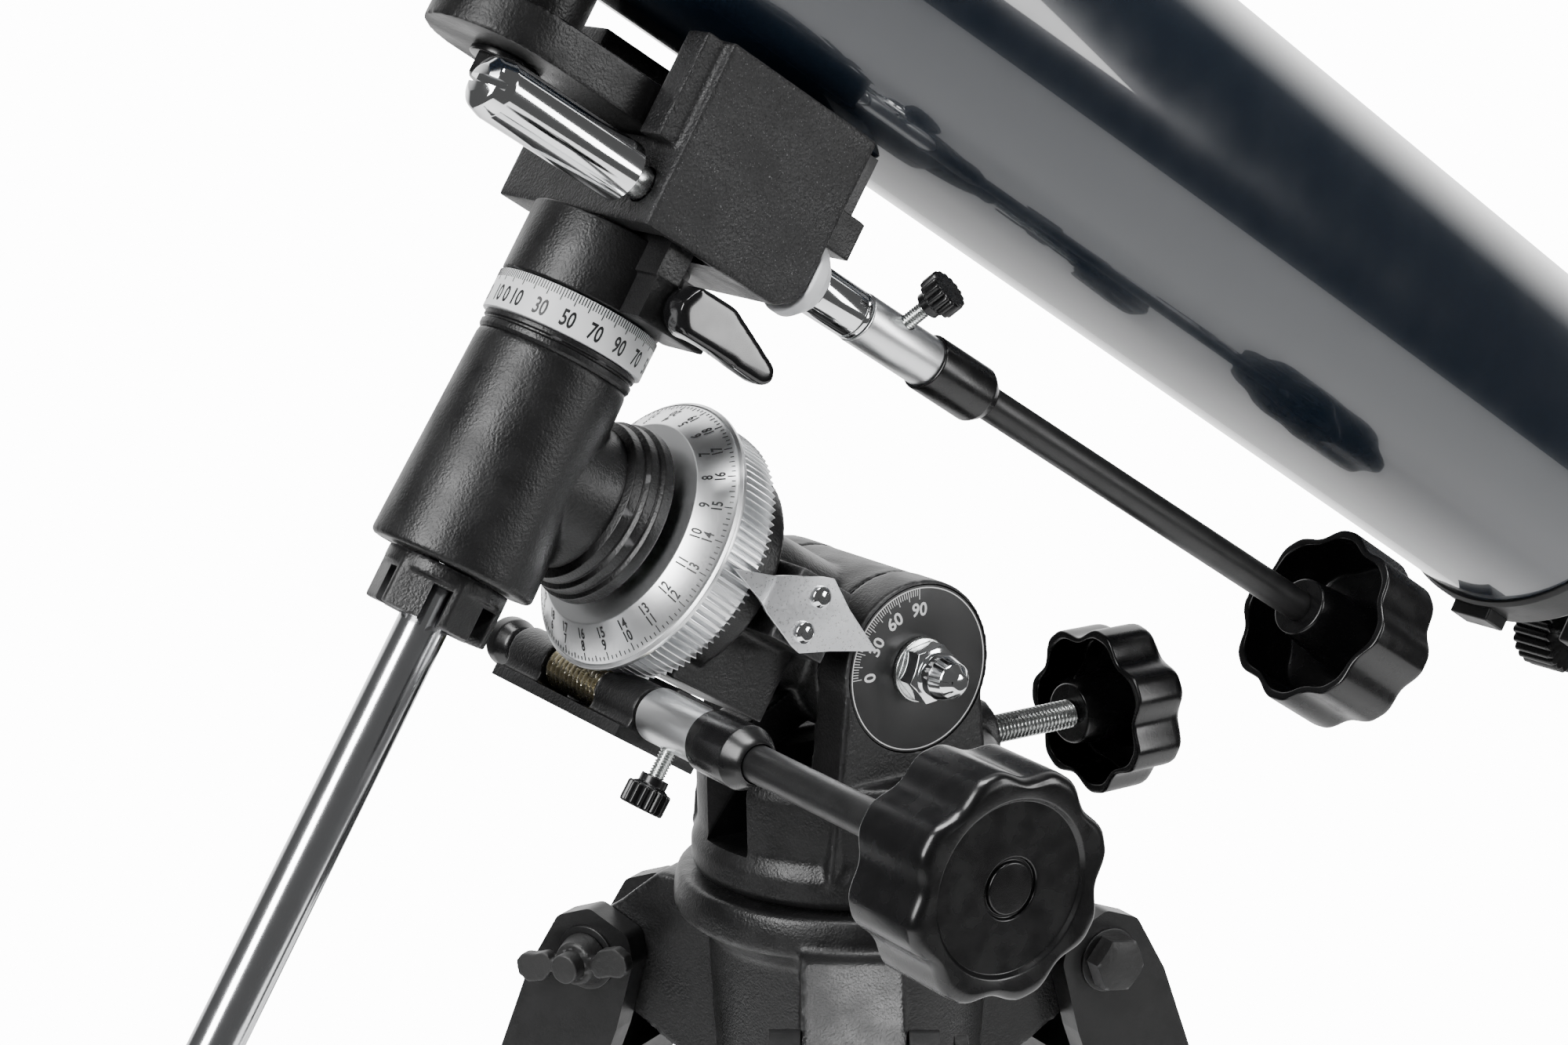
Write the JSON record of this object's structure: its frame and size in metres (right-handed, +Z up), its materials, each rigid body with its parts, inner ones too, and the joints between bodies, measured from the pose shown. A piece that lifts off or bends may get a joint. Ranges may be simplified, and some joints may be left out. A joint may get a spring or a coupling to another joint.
{
  "type": "telescope on tripod",
  "caption": "Refractor telescope on a German equatorial mount with setting circles, slow-motion controls, counterweight and a folding aluminium tripod.",
  "frame": {"origin": "on the floor, under the centre of the bounding box", "axes": "+Z up; the polar axis and the front of the tube point to -X and up; the right ascension control knob is on the -Y side"},
  "size_m": [0.7968, 0.5506, 1.1173],
  "materials": {
    "cast_black": "fine textured black enamel on die castings",
    "plastic_black": "satin black moulded plastic",
    "gloss_black": "polished black plastic",
    "iron_black": "black painted cast iron",
    "chrome": "bright chrome plate",
    "zinc": "zinc plated steel",
    "aluminium": "plain and satin aluminium",
    "brass": "pale brass with a film of grease",
    "scale_white": "satin silver white scale ring",
    "scale_black": "black enamel scale plate",
    "nylon_white": "white nylon",
    "tube_navy": "high gloss dark navy enamel",
    "rubber": "black rubber",
    "glass": "coated lens glass"
  },
  "bodies": {
    "stand": {"stand_head": "cast_black"},
    "fork": {"azimuth_fork": "cast_black", "latitude_dial": "scale_black", "altitude_bolt": "chrome"},
    "jack": {"jack_bolt": "zinc"},
    "polar": {"polar_housing": "cast_black", "pointer": "aluminium", "worm_carriage": "cast_black"},
    "ra": {"worm_wheel": "aluminium", "dec_housing": "cast_black", "castle_nut": "cast_black", "counterweight_shaft": "chrome"},
    "worm": {"worm": "brass", "ra_control": "plastic_black"},
    "ra_screw": {"ra_control_screw": "plastic_black"},
    "ra_circle": {"ra_dial": "aluminium"},
    "weight": {"counterweight": "iron_black"},
    "weight_screw": {"counterweight_screw": "plastic_black"},
    "dec_circle": {"dec_dial": "scale_white"},
    "dec_clamp": {"dec_clamp_ring": "cast_black"},
    "lever": {"dec_lock_lever": "gloss_black"},
    "head": {"dec_head": "cast_black", "saddle_bar": "cast_black", "tube_foot_front": "cast_black", "tube_foot_rear": "cast_black", "saddle_bolt_front": "zinc", "saddle_bolt_rear": "zinc", "spring_housing": "chrome", "dec_collar": "nylon_white", "tube": "tube_navy", "dew_shield": "plastic_black", "objective": "glass", "focuser": "plastic_black", "finder_shoe": "plastic_black"},
    "plunger": {"spring_plunger": "zinc"},
    "dec_screw": {"dec_screw": "chrome", "dec_control": "plastic_black"},
    "dec_thumb": {"dec_control_screw": "plastic_black"},
    "draw": {"drawtube": "chrome"},
    "knobs": {"focus_knobs": "plastic_black"},
    "diag": {"diagonal": "gloss_black", "eyepiece": "plastic_black"},
    "leg_front": {"leg_bracket_front": "plastic_black", "leg_channel_front": "aluminium", "leg_bolt_front": "zinc"},
    "lower_front": {"leg_slider_front": "aluminium", "leg_foot_front": "rubber"},
    "grip_front": {"leg_clamp_front": "plastic_black"},
    "leg_right": {"leg_bracket_right": "plastic_black", "leg_channel_right": "aluminium", "leg_bolt_right": "zinc"},
    "lower_right": {"leg_slider_right": "aluminium", "leg_foot_right": "rubber"},
    "grip_right": {"leg_clamp_right": "plastic_black"},
    "leg_left": {"leg_bracket_left": "plastic_black", "leg_channel_left": "aluminium", "leg_bolt_left": "zinc"},
    "lower_left": {"leg_slider_left": "aluminium", "leg_foot_left": "rubber"},
    "grip_left": {"leg_clamp_left": "plastic_black"}
  },
  "joints": [
    {"name": "azimuth", "type": "hinge", "parent": "stand", "child": "fork", "pos_m": [-0.04668, -0.01479, 0.6425], "axis": [0, 0, 1], "continuous": true},
    {"name": "latitude", "type": "hinge", "parent": "fork", "child": "polar", "pos_m": [-0.04868, -0.01479, 0.7], "axis": [0, 1, 0], "range_deg": [-10, 28]},
    {"name": "jack_travel", "type": "slide", "parent": "fork", "child": "jack", "axis": [-1, 0, 0], "range_m": [-0.0055, 0.0153]},
    {"name": "right_ascension", "type": "hinge", "parent": "polar", "child": "ra", "pos_m": [-0.04868, -0.01479, 0.69817], "axis": [-0.8504, 0, 0.5261], "range_deg": [-50, 65]},
    {"name": "ra_worm", "type": "hinge", "parent": "polar", "child": "worm", "pos_m": [-0.12008, -0.01353, 0.70003], "axis": [0.0184, 0.9994, 0.0297], "range_deg": [-6510, 6510]},
    {"name": "ra_screw_turn", "type": "hinge", "parent": "worm", "child": "ra_screw", "pos_m": [-0.12073, -0.04901, 0.69898], "axis": [-0.5257, 0.0349, -0.8499], "continuous": true},
    {"name": "ra_dial_turn", "type": "hinge", "parent": "ra", "child": "ra_circle", "pos_m": [-0.11161, -0.01479, 0.7371], "axis": [-0.8504, 0, 0.5261], "continuous": true},
    {"name": "weight_slide", "type": "slide", "parent": "ra", "child": "weight", "axis": [-0.5261, 0, -0.8504], "range_m": [-0.14, 0.02]},
    {"name": "weight_screw_turn", "type": "hinge", "parent": "weight", "child": "weight_screw", "pos_m": [-0.26284, -0.01479, 0.56961], "axis": [-0.8504, 0, 0.5261], "continuous": true},
    {"name": "dec_dial_turn", "type": "hinge", "parent": "ra", "child": "dec_circle", "pos_m": [-0.12817, -0.01479, 0.78732], "axis": [0.5261, 0, 0.8504], "continuous": true},
    {"name": "declination", "type": "hinge", "parent": "ra", "child": "dec_clamp", "pos_m": [-0.1208, -0.01479, 0.79923], "axis": [0.5261, 0, 0.8504], "range_deg": [-90, 90]},
    {"name": "lock_lever_turn", "type": "hinge", "parent": "dec_clamp", "child": "lever", "pos_m": [-0.11574, -0.04479, 0.79315], "axis": [0, -1, 0], "range_deg": [-60, 15]},
    {"name": "dec_fine", "type": "hinge", "parent": "dec_clamp", "child": "head", "pos_m": [-0.11449, -0.01479, 0.80943], "axis": [0.5261, 0, 0.8504], "range_deg": [-5, 5]},
    {"name": "plunger_travel", "type": "slide", "parent": "head", "child": "plunger", "axis": [-0.8504, 0, 0.5261], "range_m": [-0.0021, 0.0021]},
    {"name": "dec_screw_turn", "type": "hinge", "parent": "head", "child": "dec_screw", "pos_m": [-0.06424, -0.03789, 0.78705], "axis": [-0.8504, 0, 0.5261], "range_deg": [-725, 725]},
    {"name": "dec_thumb_turn", "type": "hinge", "parent": "dec_screw", "child": "dec_thumb", "pos_m": [-0.05404, -0.03789, 0.78074], "axis": [0.3949, -0.6606, 0.6384], "continuous": true},
    {"name": "focus_travel", "type": "slide", "parent": "head", "child": "draw", "axis": [0.8504, 0, -0.5261], "range_m": [-0.012, 0.05]},
    {"name": "focus_knob_turn", "type": "hinge", "parent": "head", "child": "knobs", "pos_m": [0.25354, -0.01479, 0.65068], "axis": [0, 1, 0], "range_deg": [-100, 410]},
    {"name": "diagonal_turn", "type": "hinge", "parent": "draw", "child": "diag", "pos_m": [0.31865, -0.01479, 0.64568], "axis": [-0.8504, 0, 0.5261], "range_deg": [-120, 120]},
    {"name": "leg_fold_front", "type": "hinge", "parent": "stand", "child": "leg_front", "pos_m": [-0.08577, -0.0692, 0.61], "axis": [0.8121, -0.5835, 0], "range_deg": [0, 20]},
    {"name": "leg_slide_front", "type": "slide", "parent": "leg_front", "child": "lower_front", "axis": [-0.2091, -0.291, -0.9336], "range_m": [0, 0.22]},
    {"name": "leg_clamp_turn_front", "type": "hinge", "parent": "leg_front", "child": "grip_front", "pos_m": [-0.16942, -0.18561, 0.23657], "axis": [-0.5448, -0.7581, 0.3584], "continuous": true},
    {"name": "leg_fold_right", "type": "hinge", "parent": "stand", "child": "leg_right", "pos_m": [0.01999, -0.02144, 0.61], "axis": [0.0993, 0.9951, 0], "range_deg": [0, 20]},
    {"name": "leg_slide_right", "type": "slide", "parent": "leg_right", "child": "lower_right", "axis": [0.3566, -0.0356, -0.9336], "range_m": [0, 0.22]},
    {"name": "leg_clamp_turn_right", "type": "hinge", "parent": "leg_right", "child": "grip_right", "pos_m": [0.16263, -0.03568, 0.23657], "axis": [0.929, -0.0927, 0.3584], "continuous": true},
    {"name": "leg_fold_left", "type": "hinge", "parent": "stand", "child": "leg_left", "pos_m": [-0.07425, 0.04628, 0.61], "axis": [-0.9114, -0.4115, 0], "range_deg": [0, 20]},
    {"name": "leg_slide_left", "type": "slide", "parent": "leg_left", "child": "lower_left", "axis": [-0.1475, 0.3266, -0.9336], "range_m": [0, 0.22]},
    {"name": "leg_clamp_turn_left", "type": "hinge", "parent": "leg_left", "child": "grip_left", "pos_m": [-0.13324, 0.17692, 0.23657], "axis": [-0.3842, 0.8509, 0.3584], "continuous": true}
  ],
  "couplings": [
    {"joint": "jack_travel", "follows": "latitude", "m_per_rad": 0.031},
    {"joint": "ra_worm", "follows": "right_ascension", "ratio": 100},
    {"joint": "plunger_travel", "follows": "dec_fine", "m_per_rad": 0.023},
    {"joint": "dec_screw_turn", "follows": "dec_fine", "ratio": 144.5},
    {"joint": "focus_knob_turn", "follows": "focus_travel", "rad_per_m": 142}
  ]
}
